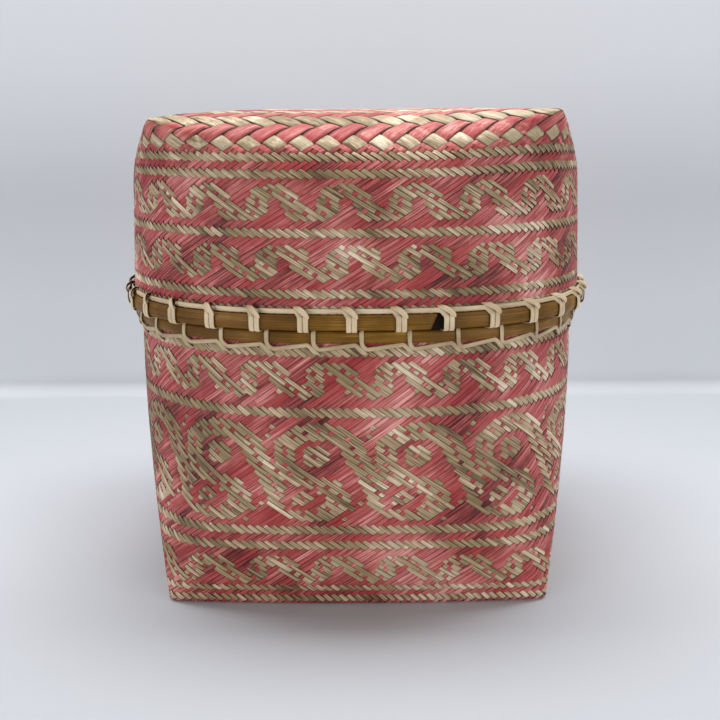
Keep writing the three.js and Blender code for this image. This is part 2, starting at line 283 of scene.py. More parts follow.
def rattanFinish(name, tones):
    finish = Finish(name)
    along, over = finish.map()
    fibres = finish.noise(finish.vector(along * 240.0, over * 22.0), 1.0, 3.0, 0.6)
    clouds = finish.noise(finish.place(), 90.0, 2.0)
    tone = fibres * 0.7 + clouds * 0.7 - 0.2
    # Painted shade darkens its edges, like those of the splints. Its face runs from 0 to 0.6 on the
    # map.
    edgeShade = ((over - 0.3).size() * 3.6) ** 6.0
    color = finish.ramp(tone, list(zip((0.15, 0.5, 0.9), tones)))
    color = finish.mix(edgeShade * 0.4, color, paint(84, 60, 34))
    finish.bump(fibres, 0.3, 0.15)
    return finish.set(Base_Color=color, Roughness=0.5 - fibres * 0.15)


# Baskets: both halves are the same kind of surface, and the base's is turned upside down
splints = 192  # of each colour, round each half
perSide = splints // 4
perWide = 3  # splints that run together as one wide strip
mouthExponent = 2.5  # 2 gives a circle, and larger values come nearer a square
topCrown = 3.2  # how far the middle of the top stands above its edges
floorGap = 0.16  # keeps the lowest splints off the floor

lidShape = {
    "closedZ": cadSize("lid_outer_plait", 1, 2) - topCrown,
    "height": cadSize("lid_outer_plait", 1, 2) - topCrown - cadSize("lid_outer_plait", 0, 2),
    "mouthHalfWidth": cadSize("lid_outer_plait", 1, 0),
    "flare": 18.0,  # how much longer it is round the mouth than round the closed end
    "belly": 0.5,  # how much longer again it is halfway
    "bow": 1.2,  # how far the closed end's sides bow out between their corners
    "crown": topCrown,
    "rounding": 24.0,  # how far from the closed end the corners have rounded out
    "raised": 2.7,  # how far the corner at the front right stands up
    "edgeSoftness": (4.2, 1.3),  # in the middle of a side, and at a corner
    "rows": [(-0.1, 0), (4.5, 3.4), (9, 8.3), (11, 10.25)],  # some rows and their depths
    "row": 0.957,  # from each row to the next, after those
    "turned": False,
}
baseShape = {
    "closedZ": floorGap,
    "height": cadSize("base_outer_plait", 1, 2) - floorGap,
    "mouthHalfWidth": cadSize("base_outer_plait", 1, 0),
    "flare": -3.0,
    "belly": 4.5,
    "bow": 3.2,
    "crown": 0.0,
    "rounding": cadSize("base_outer_plait", 1, 2) - 3.4,
    "raised": 0.0,
    "edgeSoftness": (0.9, 0.9),
    "rows": [(0.7, 0), (3, 3.38)],
    "row": 1.126,
    "turned": True,
}
flatShare = 0.35  # how much of the crowned top is flat
raisedColumns, raisedDepth = 12, 45  # how far round and down the raised corner reaches


# A rounded square of half width 1, whose sides bow out between its corners
def unitOutline(exponent, bow, angle):
    across, deep = np.abs(np.sin(angle)), np.abs(np.cos(angle))
    large, small = np.maximum(across, deep), np.minimum(across, deep)
    slant = small / large
    reach = (1 + bow * (1 - slant**2)) / (large * (1 + slant**exponent) ** (1 / exponent))
    return np.stack([reach * np.sin(angle), -reach * np.cos(angle)], -1)


def lengthsAlong(points):
    steps = np.linalg.norm(np.diff(points, axis=0), axis=1)
    return np.concatenate([[0], np.cumsum(steps)])


# A wall is rings of evenly spaced points, which lie closer together near the closed end
class Basket:
    levels = 100
    evenSteps = 8 * splints
    roughSteps = 2880

    def __init__(self, shape):
        self.shape = shape
        self.height = shape["height"]
        angle = np.linspace(0, 2 * math.pi, self.roughSteps + 1)
        mouth = lengthsAlong(unitOutline(mouthExponent, 0, angle))[-1] * shape["mouthHalfWidth"]
        closed = mouth - shape["flare"]
        self.closedHalf = closed / 8
        self.rings = np.empty((self.levels, self.evenSteps + 1, 2))
        for level in range(self.levels):
            share = (level / (self.levels - 1)) ** 2
            rounding = min(share * self.height / shape["rounding"], 1)
            exponent = mouthExponent / max(1 - (1 - rounding) ** 2, 0.05)
            bow = (1 - rounding) * shape["bow"] / self.closedHalf
            outline = unitOutline(exponent, bow, angle)
            lengths = lengthsAlong(outline)
            even = np.linspace(0, lengths[-1], self.evenSteps + 1)
            girth = closed + (mouth - closed) * share + 4 * shape["belly"] * share * (1 - share)
            for axis in range(2):
                spread = np.interp(even, lengths, outline[:, axis])
                self.rings[level, :, axis] = spread * girth / lengths[-1]

    def ringPoint(self, column, down):
        level = np.sqrt(np.clip(down / self.height, 0, 1)) * (self.levels - 1)
        step = (column / splints % 1) * self.evenSteps
        low = np.minimum(level.astype(int), self.levels - 2)
        first = np.minimum(step.astype(int), self.evenSteps - 1)
        rise, run = (level - low)[..., None], (step - first)[..., None]
        near = self.rings[low, first] * (1 - run) + self.rings[low, first + 1] * run
        far = self.rings[low + 1, first] * (1 - run) + self.rings[low + 1, first + 1] * run
        return near * (1 - rise) + far * rise

    # Depth runs down the wall from the edge of the closed end, and is negative on its face
    def depthOf(self, row):
        rows, depths = zip(*self.shape["rows"])
        more = 400  # rows, to far past the rim
        rows = [-perSide, *rows, rows[-1] + more]
        depths = [-self.closedHalf, *depths, depths[-1] + more * self.shape["row"]]
        return np.interp(row, rows, depths)

    def rowOf(self, depth):
        lastRow, lastDepth = self.shape["rows"][-1]
        return lastRow + (depth - lastDepth) / self.shape["row"]

    def sheet(self, onRing, depth):
        toCorner = np.abs((onRing + perSide / 2) % perSide - perSide / 2) / (perSide / 2)
        middle, corner = self.shape["edgeSoftness"]
        softness = middle + (corner - middle) * toCorner**4
        down = (depth + np.sqrt(depth**2 + softness**2)) / 2
        inward = (np.sqrt(depth**2 + softness**2) - depth) / 2
        share = np.clip(1 - inward / self.closedHalf, 0.001, 1)
        fall = np.clip((share - flatShare) / (1 - flatShare), 0, 1) ** 2
        flat = self.ringPoint(onRing, down) * share[..., None]
        toRaised = np.abs((onRing + splints / 2 - perSide / 2) % splints - splints / 2)
        raised = np.exp(-(toRaised / raisedColumns) ** 2) * share**4
        raised *= np.clip(1 - down / raisedDepth, 0, 1)
        z = self.shape["crown"] * (1 - fall) + self.shape["raised"] * raised - down
        return np.concatenate([flat, z[..., None]], -1)

    def atDepth(self, onRing, depth, lift):
        onRing, depth, lift = np.broadcast_arrays(onRing, depth, lift)
        at = self.sheet(onRing, depth)
        along = self.sheet(onRing + 0.7, depth) - self.sheet(onRing - 0.7, depth)
        down = self.sheet(onRing, depth + 0.8) - self.sheet(onRing, depth - 0.8)
        normal = np.cross(down, along)
        normal /= np.linalg.norm(normal, axis=-1, keepdims=True)
        at = at + normal * lift[..., None]
        return self.turn(at) + np.array([0, 0, self.shape["closedZ"]]), self.turn(normal)

    # On the face each triangle has the columns of its own side, fewer on each row inwards
    def place(self, column, row, side, lift):
        ringScale = np.clip(1 + row / perSide, 0.004, 1)
        middle = perSide * side
        return self.atDepth(middle + (column - middle) / ringScale, self.depthOf(row), lift)

    def turn(self, vectors):
        return vectors * np.array([-1, 1, -1]) if self.shape["turned"] else vectors


# Meshes


def meshObject(name, points, faces, corners, material, sharpAngle):
    mesh = bpy.data.meshes.new(name)
    faces = [np.asarray(face) for face in faces if len(face)]
    flat = np.concatenate([face.ravel() for face in faces])
    sizes = np.concatenate([np.full(len(face), face.shape[1]) for face in faces])
    mesh.vertices.add(len(points))
    mesh.vertices.foreach_set("co", (points * mm).astype(np.float32).ravel())
    mesh.loops.add(len(flat))
    mesh.loops.foreach_set("vertex_index", flat.astype(np.int32))
    mesh.polygons.add(len(sizes))
    starts = np.concatenate([[0], np.cumsum(sizes)[:-1]])
    mesh.polygons.foreach_set("loop_start", starts.astype(np.int32))
    mesh.update(calc_edges=True)
    uv = mesh.uv_layers.new(name="UVMap")
    flatCorners = np.concatenate([np.asarray(corner).reshape(-1, 2) for corner in corners])
    uv.data.foreach_set("uv", flatCorners.astype(np.float32).ravel())
    mesh.polygons.foreach_set("use_smooth", np.ones(len(sizes), bool))
    mesh.set_sharp_from_angle(angle=math.radians(sharpAngle))
    mesh.validate()
    mesh.materials.append(material)
    piece = bpy.data.objects.new(name, mesh)
    bpy.context.scene.collection.objects.link(piece)
    return piece


# Sections of strips: parts across, parts up, and where each point lies on the map across the strip
stripSection = np.array([
    (-1, -0.4, 0.0), (-0.93, 0.7, 0.06), (0, 1, faceMiddle), (0.93, 0.7, 0.59), (1, -0.4, 0.65),
    (0, -1, 0.82),
])
wideSection = np.array([
    (-1, -0.6, 0.0), (-0.93, 0.45, 0.05), (-0.5, 1, 0.18), (0, 1.15, faceMiddle), (0.5, 1, 0.47),
    (0.93, 0.45, 0.6), (1, -0.6, 0.65), (0.5, -1, 0.73), (0, -1, 0.82), (-0.5, -1, 0.91),
])
rattanSection = np.array([
    (-1, -0.2, 0.0), (-0.92, 0.6, 0.05), (-0.5, 1, 0.2), (0.5, 1, 0.4), (0.92, 0.6, 0.55),
    (1, -0.2, 0.6), (0.7, -1, 0.7), (-0.7, -1, 0.9),
])


def sweep(at, normal, width, thickness, section):
    aside = np.cross(normal, np.gradient(at, axis=0))
    aside /= np.linalg.norm(aside, axis=-1, keepdims=True)
    width = np.broadcast_to(width, len(at))[:, None]
    return np.stack([at + aside * across * width / 2 + normal * up * thickness / 2
                     for across, up in section[:, :2]], axis=1)


def quads(grid):
    return np.stack([grid[:-1, :-1], grid[1:, :-1], grid[1:, 1:], grid[:-1, 1:]], -1).reshape(-1, 4)


# Strips are tubes of sections. The map runs along each in u, with a sliver at each end for the
# caps, and v counts them.
def stripMesh(name, tubes, section, material, sharpAngle=50):
    size = len(section)
    shares = np.append(section[:, 2], 1.0)
    faces, corners, ends, endCorners = [], [], [], []
    offset = 0
    for index, tube in enumerate(tubes):
        steps = len(tube)
        grid = offset + np.arange(steps)[:, None] * size + np.arange(size + 1)[None, :] % size
        faces.append(quads(grid))
        lengths = lengthsAlong(tube[:, size // 3])
        u = 0.01 + 0.98 * lengths / lengths[-1]
        us, vs = np.broadcast_arrays(u[:, None], (index + shares)[None, :] / len(tubes))
        corners.append(np.stack([quads(us), quads(vs)], -1).reshape(-1, 2))
        ends += [grid[0, :size], grid[-1, :size][::-1]]
        cap = np.stack([0.004 + 0.002 * section[:, 1], vs[0, :size]], -1)
        endCorners += [cap, (np.array([1.0, 0]) + cap * np.array([-1, 1]))[::-1]]
        offset += steps * size
    points = np.concatenate([tube.reshape(-1, 3) for tube in tubes])
    return meshObject(
        name, points, [np.concatenate(faces), np.array(ends)],
        [np.concatenate(corners), np.concatenate(endCorners)], material, sharpAngle)


# Plait: rose splints rise to the right on the front and straw ones fall to the right. A crossing
# has a row, counted from the edge of the closed end, and a column. Splints lie half a column off
# the corners, and near the closed end they are three times as wide.
lidPlait = {
    "body": "lid",
    "node": "lid_outer_plait",
    "liningNode": "lid_lining",
    "width": 1.77,
    "splitRow": 11.6,  # where the wide strips split into splints
}
basePlait = {
    "body": "base",
    "node": "base_outer_plait",
    "liningNode": "base_lining",
    "width": 2.0,
    "splitRow": -1.5,
}
fineSplint = {
    "thickness": 0.36,
    "lift": 0.38,
    "pillow": 0.6,  # how much of its lift it keeps beside a change of sides
    "level": 0.28,  # rows that it lies level for, before and after the middle of a crossing
    "sunk": 0.56,  # how far behind the skin's surface it weaves
    "endRows": 0.3,  # the least from its end to its first or last crossing
    "rimMargin": 0.9,  # how far its end stays behind the rim
    "uneven": {"lift": 0.02, "column": 0.02, "waver": 0.012, "straw": 0.09, "rose": 0.06},
}
wideSplint = {
    "fill": 0.93,  # how much of its lane a strip takes up
    "thickness": 0.44,
    "lift": 0.38,
    "sunk": 0.62,
    "ramp": 0.5,  # how much of the way from one crossing to the next it takes to change sides
}


# Scrolls are strokes with ties along their middle. Points count columns to the right, and rows
# down from the top of the scroll. A column counts as several rows, so that upright parts of a
# stroke are wide enough for the slant of the splints.
waveScroll = {
    "repeat": 8,
    "rows": 15,
    "thick": 2.5,  # from the stroke's middle to its edge, in rows
    "stroke": [(0, 10.8), (0, 6.9), (0.25, 4.4), (1.2, 3.1), (2.6, 3.2), (3.6, 4.7), (3.95, 7.6),
               (4.4, 10.4), (5.4, 11.8), (6.8, 12), (7.7, 11.6), (8, 10.8)],
    "eyes": [],
    "dots": [],
    "tieStep": 3.5,  # rows along the stroke from tie to tie
    "longest": 6,  # crossings under one float of straw
}
eyeScroll = {
    "repeat": 12,
    "rows": 38,
    "thick": 3.0,
    "stroke": [(1.1, 14.5), (1.1, 10), (1.8, 6.4), (3.4, 4.4), (5.4, 3.9), (7.2, 4.7), (8.6, 6.8),
               (9.3, 10), (10, 14.6), (11.1, 19.9), (11.9, 25), (12.4, 29.8), (13.6, 33.3),
               (15.6, 34.8), (17.7, 34.6), (19.3, 32), (19.7, 28.3), (18.5, 24.8), (16, 22.6),
               (14.2, 20), (13.2, 16.8), (13.1, 14.5)],
    "eyes": [(4.9, 13, 3.7), (3.1, 29, 2.9)],  # column, row and size
    "dots": [(11.8, 2.4), (11.2, 5.6), (10, 31.5), (9.3, 33.8), (8.3, 36.6)],
    "tieStep": 3.6,
    "longest": 6,
}
columnRows = 2.15
eyeHole, eyeMoat = 0.9, 2.0  # rose inside the straw of an eye, and round it


def strokeDistance(x, y, points, repeat):
    least = np.full(x.shape, np.inf)
    for shift in (-2, -1, 0, 1):
        for (startX, startY), (endX, endY) in zip(points[:-1], points[1:]):
            fromX, fromY = (startX + shift * repeat) * columnRows, startY
            toX, toY = (endX - startX) * columnRows, endY - startY
            share = ((x - fromX) * toX + (y - fromY) * toY) / (toX**2 + toY**2)
            share = np.clip(share, 0, 1)
            away = np.hypot(x - fromX - share * toX, y - fromY - share * toY)
            least = np.minimum(least, away)
    return least


def tiePlaces(scroll):
    corners = np.array(scroll["stroke"], float) * np.array([columnRows, 1])
    lengths = lengthsAlong(corners)
    count = round(lengths[-1] / scroll["tieStep"])
    middles = (np.arange(count) + 0.5) * lengths[-1] / count
    return [[np.interp(length, lengths, corners[:, axis]) for axis in range(2)]
            for length in middles]


# Which crossings show straw: an array of rows by twice the column, used where the sum is odd
class Draft:
    def __init__(self, rows, upward):
        self.straw = np.zeros((rows, 2 * splints), bool)
        self.upward = upward
        self.row, self.half = np.meshgrid(np.arange(rows), np.arange(2 * splints), indexing="ij")
        self.real = (self.row + self.half) % 2 == 1

    def stripe(self, first, last):
        self.straw[first:last + 1] = True

    def scroll(self, scroll, topRow, phase, rows):
        # On the base, whose rows count upwards, the pattern is laid out as it is seen
        sign = -1 if self.upward else 1
        squeeze = scroll["rows"] / rows
        x = ((sign * self.half / 2 - phase) % scroll["repeat"]) * columnRows
        y = sign * (self.row - topRow) * squeeze
        width = scroll["repeat"] * columnRows
        inside = (y > -0.5) & (y < scroll["rows"] + 0.5) & self.real
        shown = strokeDistance(x, y, scroll["stroke"], scroll["repeat"]) < scroll["thick"]

        def across(column):
            return np.abs((x - column * columnRows + width / 2) % width - width / 2)

        for column, row in tiePlaces(scroll):
            shown &= across(column / columnRows) / columnRows * 2 + np.abs(y - row) / squeeze >= 1
        shown = self.tied(shown & inside, scroll["longest"])
        for column, row, size in scroll["eyes"]:
            away = np.hypot(across(column), y - row)
            shown &= away > size + eyeMoat
            shown |= (away < size) & (away > eyeHole)
        for column, row in scroll["dots"]:
            shown |= across(column) / columnRows * 2 + np.abs(y - row) / squeeze < 1
        self.straw = np.where(inside, shown, self.straw)

    # A float of straw that is too long gets ties, which keep clear of each other
    def tied(self, shown, longest):
        shown = shown.copy()
        rows = np.arange(len(shown))
        for number in range(splints):
            halves = (2 * number + 1 + rows) % (2 * splints)
            edges = np.diff(np.concatenate([[0], shown[rows, halves].astype(int), [0]]))
            for first, last in zip(np.flatnonzero(edges == 1), np.flatnonzero(edges == -1)):
                pieces = math.ceil((last - first) / longest)
                for cut in range(1, pieces):
                    middle = round(first + (last - first) * cut / pieces)
                    for row in (middle, middle - 1, middle + 1):
                        clear = all(
                            shown[row + down, (halves[row] + right) % (2 * splints)]
                            for down, right in ((1, -1), (-1, 1), (2, 0), (-2, 0), (0, 2), (0, -2)))
                        if clear and first < row < last - 1:
                            shown[row, halves[row]] = False
                            break
        return shown


def lidDraft(rows):
    draft = Draft(rows, upward=False)
    draft.scroll(waveScroll, topRow=23.3, phase=-3.1, rows=14)
    draft.scroll(waveScroll, topRow=44.5, phase=-2.1, rows=14)
    for first in (13, 19, 40, 62, 68):
        draft.stripe(first, first + 2)
    return draft.straw


def baseDraft(rows):
    draft = Draft(rows, upward=True)
    draft.scroll(waveScroll, topRow=89.5, phase=-4.75, rows=13)
    draft.scroll(eyeScroll, topRow=69.3, phase=2.3, rows=36)
    draft.scroll(waveScroll, topRow=20.5, phase=-4.35, rows=12)
    for first, last in ((2, 3), (6, 7), (23, 25), (29, 31), (71, 73), (91, 93)):
        draft.stripe(first, last)
    return draft.straw


def fineStrips(basket, plait, straw, isStraw, side):
    strips = []
    look, uneven = fineSplint, fineSplint["uneven"]
    rimRow = basket.rowOf(basket.height - look["rimMargin"])
    lean = -1 if isStraw else 1
    for index in range(perSide):
        number = side * perSide - perSide // 2 + index
        start = plait["splitRow"] + lean * (number % perWide - 1)
        cells = np.arange(
            math.ceil(start + look["endRows"]), math.floor(rimRow - look["endRows"]) + 1)
        half = (2 * number + 1 - lean * cells) % (2 * splints)
        over = straw[np.maximum(cells, 0), half] == isStraw
        level = cells[:, None] + look["level"] * np.array([-1, 1])
        rows = np.concatenate([[start], level.ravel(), [rimRow]])
        up = np.repeat(np.where(over, 1.0, -1.0), 2)
        turns = np.flatnonzero(np.diff(up))
        up[turns] *= look["pillow"]
        up[turns + 1] *= look["pillow"]
        up *= look["lift"]
        lift = np.concatenate([[up[0]], up, [up[-1]]]) - look["sunk"]
        lift = lift + chance.normal(0, uneven["lift"], lift.shape)
        column = number + 0.5 - lean * rows / 2
        column = column + chance.normal(0, uneven["column"])
        column = column + uneven["waver"] * np.sin(rows * 0.9 + number)
        slit = abs(chance.normal(0, uneven["straw" if isStraw else "rose"]))
        width = plait["width"] * (0.97 + 0.05 * np.sin(rows * 0.37 + 9 * number) - slit)
        at, normal = basket.place(column, rows, 0 * rows, lift)
        strips.append(sweep(at, normal, width, look["thickness"], stripSection))
    return strips


def smoothStep(share):
    share = np.clip(share, 0, 1)
    return share * share * (3 - 2 * share)


# Lifts of a wide strip at some rows, from whether it lies over at each crossing
def wideLift(rows, isOver, look):
    wide = rows / perWide
    first = np.floor(wide)
    share = smoothStep((wide - first - 0.5) / look["ramp"] + 0.5)
    return (isOver(first) * (1 - share) + isOver(first + 1) * share) * look["lift"]


def roseRing(plait):
    def rose(ring):  # +1 where rose lies on top
        twill = np.where(np.floor((ring + 1) / 2) % 2 == 1, 1.0, -1.0)
        return np.where(ring >= plait["splitRow"] / perWide, 1.0, twill)

    return rose


# A wide strip rises on one side, crosses a diagonal of the face and goes down the next side.
# The two halves lean opposite ways.
def widePath(index, endRow, step):
    place = perWide * (index + 0.5)
    side = round(place / perSide)
    offset = place - perSide * side
    middle = perSide / 2 - offset
    rows = np.linspace(endRow, -middle, math.ceil((endRow + middle) / step) + 1)
    back = rows[::-1]
    nextPlace = perSide * (side + 1) - offset
    first = (place - rows / 2, rows, np.full(rows.shape, side), np.ones(rows.shape))
    second = (nextPlace + back / 2, back, np.full(back.shape, side + 1), -np.ones(back.shape))
    return first, second


turnRows = 6


# Sections of a wide strip lie along the strips that it crosses. Before a square end they turn
# level over some rows.
def wideTube(basket, path, lift, look, squareRow=math.inf):
    column, rows, side, lean = path
    skew = np.clip((squareRow - rows) / turnRows, 0, 1)
    tube = []
    for across, up in wideSection[:, :2]:
        reach = -perWide / 2 * look["fill"] * across
        tube.append(basket.place(
            column + lean * reach * (1 - skew / 2), rows + skew * reach, side,
            lift + up * look["thickness"] / 2)[0])
    return np.stack(tube, axis=1)


def wideStrips(basket, plait, look, rose):
    rising, falling = [], []
    for index in range(splints // perWide):
        paths = widePath(index, plait["splitRow"], 0.5)
        if len(paths[0][1]) < 2:  # it would only touch the corner
            continue
        for path, sign, strips in zip(paths, (1, -1), (rising, falling)):
            lift = sign * wideLift(path[1], rose, look) - look["sunk"]
            strips.append(wideTube(basket, path, lift, look))
    return rising, falling


def makePlait(basket, plait, draft):
    straw = draft(math.ceil(basket.rowOf(basket.height)) + 1)
    wide = wideStrips(basket, plait, wideSplint, roseRing(plait))
    for isStraw, slot in ((False, "rose"), (True, "straw")):
        for side in range(4):
            name = f"{plait['body']}_{slot}_splints_{side + 1}"
            look = strawSplint if isStraw else roseSplint
            material = splintFinish(name, {**look, "seed": look["seed"] + 10 * side}, perSide)
            strips = fineStrips(basket, plait, straw, isStraw, side)
            piece = stripMesh(name, strips, stripSection, material)
            carry(piece, plait["body"], plait["node"])
        name = f"{plait['body']}_{slot}_wide_splints"
        wideLook = {**look, "tones": look["wideTones"], "seed": look["seed"] + 50}
        material = splintFinish(name, wideLook, len(wide[isStraw]))
        piece = stripMesh(name, wide[isStraw], wideSection, material)
        carry(piece, plait["body"], plait["node"])


def carry(piece, body, node):
    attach(piece, body)
    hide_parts(node)


# Linings: a coarser plait of undyed strips. The base's runs on above the ledge as the neck.
liningLook = {
    "fill": 0.93,
    "thickness": 0.4,
    "lift": 0.24,
    "sunk": 1.5,
    "ramp": 0.5,
    "squareRows": 4,  # how far from a strip's end its sections are square to it
}
neck = {
    "height": 26.0,
    "atLedge": 2.1,  # how far behind the skin's surface the lining lies there
    "atRim": 6.3,
    "leanDepth": 14.0,  # how far below the ledge it starts to lean in
    "fold": (3.6, 1.8, 0.3),  # depths below the rim that the strips fold over to
    "foldInset": 0.75,
}
liningReach = {"lid": -2.2, "base": neck["height"] - 0.5}  # how far past the skin's rim it runs


def liningSunk(basket, depth):
    sunk = np.full(depth.shape, liningLook["sunk"])
    if basket.shape["turned"]:
        lean = np.clip((depth - basket.height + neck["leanDepth"]) / neck["leanDepth"], 0, 1)
        rise = np.clip((depth - basket.height) / neck["height"], 0, 1)
        sunk += lean * (neck["atLedge"] - liningLook["sunk"])
        sunk += rise * (neck["atRim"] - neck["atLedge"])
    return sunk


def twill(ring):
    return np.where(np.floor(ring / 2) % 2 == 0, 1.0, -1.0)


def makeLining(basket, plait):
    isBase = basket.shape["turned"]
    endRow = basket.rowOf(basket.height + liningReach[plait["body"]])
    strips = []
    for index in range(splints // perWide):
        paths = widePath(index, endRow, 1.0)
        lift = [sign * wideLift(path[1], twill, liningLook) for path, sign in zip(paths, (1, -1))]
        first, second = paths
        path = [np.concatenate([start, end[1:]]) for start, end in zip(first, second)]
        lift = np.concatenate([lift[0], lift[1][1:]])
        lift -= liningSunk(basket, basket.depthOf(path[1]))
        if isBase:  # the strips fold over at the neck's rim and go a little way down inside
            foldRows = endRow - np.array(neck["fold"]) / basket.shape["row"]
            foldLift = -neck["foldInset"] - liningSunk(basket, basket.depthOf(foldRows))
            turn = (endRow - foldRows) / 2
            column, rows, side, lean = path
            path = [
                np.concatenate([column[0] - turn, column, (column[-1] + turn)[::-1]]),
                np.concatenate([foldRows, rows, foldRows[::-1]]),
                np.concatenate([side[:1].repeat(3), side, side[-1:].repeat(3)]),
                np.concatenate([lean[:1].repeat(3), lean, lean[-1:].repeat(3)]),
            ]
            lift = np.concatenate([foldLift, lift, foldLift[::-1]])
        squareRow = endRow - liningLook["squareRows"]
        strips.append(wideTube(basket, path, lift, liningLook, squareRow))
    name = f"{plait['body']}_lining_strips"
    piece = stripMesh(name, strips, wideSection, splintFinish(name, liningSplint, len(strips)))
    carry(piece, plait["body"], plait["liningNode"])


# Hoops round the rim. A place near the rim is a column, a distance out from the wall's face and
# a height up from the rim's edge towards the closed end.
def rimPlace(basket, column, out, up):
    column, out, up = np.broadcast_arrays(
        np.asarray(column, float), np.asarray(out, float), np.asarray(up, float))
    at, normal = basket.atDepth(column, basket.height - np.maximum(up, 0), out)
    below = np.minimum(up, 0) * (-1 if basket.shape["turned"] else 1)
    return at + np.stack([0 * below, 0 * below, below], -1), normal


hoopSteps = 480
lidHoop = {
    "piece": "lid_outer_hoop",
    "node": "lid_rim_hoop",
    "body": "lid",
    "height": 5.6,
    "thickness": 1.9,
    "gap": 0.35,  # out from the skin to its back
    "drop": 0.28,  # how far it reaches beyond the rim
    "joint": 9.5,  # the column of its joint
    "jointGap": 0.9,  # in columns
    "slant": 0.8,  # how much further back the last end's lower edge is cut, in columns
    "stain": 0.1,  # how far past the tongue the joint is darkened with stain and painted shade, in columns
}
ledgeHoop = {
    "piece": "base_outer_hoop",
    "node": "base_ledge_hoop",
    "body": "base",
    "height": 4.6,
    "thickness": 1.7,
    "gap": 0.35,
    "drop": 0.24,
    "joint": 97.0,
    "jointGap": 0.3,
    "slant": 0.3,
    "stain": -0.05,
}
lidFlatHoop = {
    "piece": "lid_flat_hoop",
    "node": "lid_inner_hoop",
    "body": "lid",
    "height": 5.4,
    "thickness": 1.2,
    "gap": -2.25,
    "drop": 0.0,
    "joint": 100.0,
    "jointGap": 0.3,
    "slant": 0.0,
    "stain": -0.05,
}
baseFlatHoop = {
    **lidFlatHoop,
    "piece": "base_flat_hoop",
    "node": "base_inner_hoop",
    "body": "base",
    "height": 4.6,
    "gap": -3.1,
}


def roundSection(height, thickness):
    angle = np.linspace(0, math.pi, 9)
    out = 0.18 * thickness + 0.82 * thickness * np.sin(angle) ** 0.62
    up = height / 2 - height / 2 * np.sign(np.cos(angle)) * np.abs(np.cos(angle)) ** 0.8
    out = np.concatenate([[0], out, [0]])
    up = np.concatenate([[up[0]], up, [up[-1]]])
    return out, up


def flatSection(height, thickness):
    out = -thickness * np.array([0, 0, 0.12, 0.88, 1, 1, 0.88, 0.12])
    up = height * np.array([0.96, 0.04, 0, 0, 0.04, 0.96, 1, 1])
    return out, up


# A hoop's first end reaches across the gap of its joint as a thin tongue
def makeHoop(basket, look, section, material):
    out, up = section(look["height"], look["thickness"])
    gap = look["jointGap"] / 2
    tongue = np.linspace(-gap - look["slant"] - 0.1, gap, 8)
    columns = look["joint"] + np.concatenate([
        tongue[:-1], np.linspace(gap, splints - gap, hoopSteps)])
    toTongue, toEnd = columns - look["joint"] - gap, columns[-1] - columns
    thin = 0.16 + 0.84 * smoothStep(toTongue / 0.2 + 0.5)
    thin *= 0.6 + 0.4 * smoothStep(toEnd / 0.6)
    wobble = 1 + 0.05 * np.sin(columns * 0.31) + 0.03 * np.sin(columns * 0.83 + 1)
    outs = look["gap"] + out[None, :] * (thin * wobble)[:, None]
    cut = look["slant"] * (1 - up / up.max())[None, :] * np.exp(-toEnd / 0.8)[:, None]
    ups = np.broadcast_to(up - look["drop"], outs.shape)
    at = rimPlace(basket, columns[:, None] - cut, outs, ups)[0]
    size, steps = len(out), len(columns)
    grid = np.arange(steps)[:, None] * size + np.arange(size + 1)[None, :] % size
    u = 0.01 + tongueMap + 0.96 * (columns - columns[0]) / splints
    # The darkened joint, stain and painted shade, takes the tongue's place on the map
    u[toTongue < look["stain"]] = tongueMap / 2
    v = np.linspace(0, 1, size + 1)
    us, vs = np.broadcast_arrays(u[:, None], v[None, :])
    ends = np.array([grid[0, :size][::-1], grid[-1, :size]])
    cap = np.stack([0.004 + 0.004 * np.cos(2 * math.pi * v[:size]), v[:size]], -1)
    piece = meshObject(
        look["piece"], at.reshape(-1, 3), [quads(grid)[:, ::-1], ends],
        [np.stack([quads(us)[:, ::-1], quads(vs)[:, ::-1]], -1),
         np.concatenate([cap[::-1], cap + np.array([0.99, 0])])],
        material, 60)
    carry(piece, look["body"], look["node"])


# Lashings: one long rattan strip on each rim. Stops are millimetres to the right of a stitch,
# millimetres out from the wall, millimetres up from the rim's edge, the way the strip's face
# looks, as parts along, out and up, and how many times its usual width the strip has there.
lidLashing = {
    "piece": "lid_rattan_lashing",
    "node": "lid_lashing",
    "body": "lid",
    "stitches": 36,
    "first": -0.45,  # the column of the stitch in the middle of the front
    "width": 1.93,
    "thickness": 0.6,
    "tones": [paint(150, 124, 88), paint(220, 195, 156), paint(250, 232, 202)],
}
baseLashing = {
    "piece": "base_rattan_lashing",
    "node": "base_lashing",
    "body": "base",
    "stitches": 35,
    "first": -0.7,
    "width": 1.6,
    "thickness": 0.55,
    # Darker than the lid's rattan: painted shade of the lid's rim above it
    "tones": [paint(128, 104, 72), paint(194, 170, 132), paint(232, 212, 178)],
}


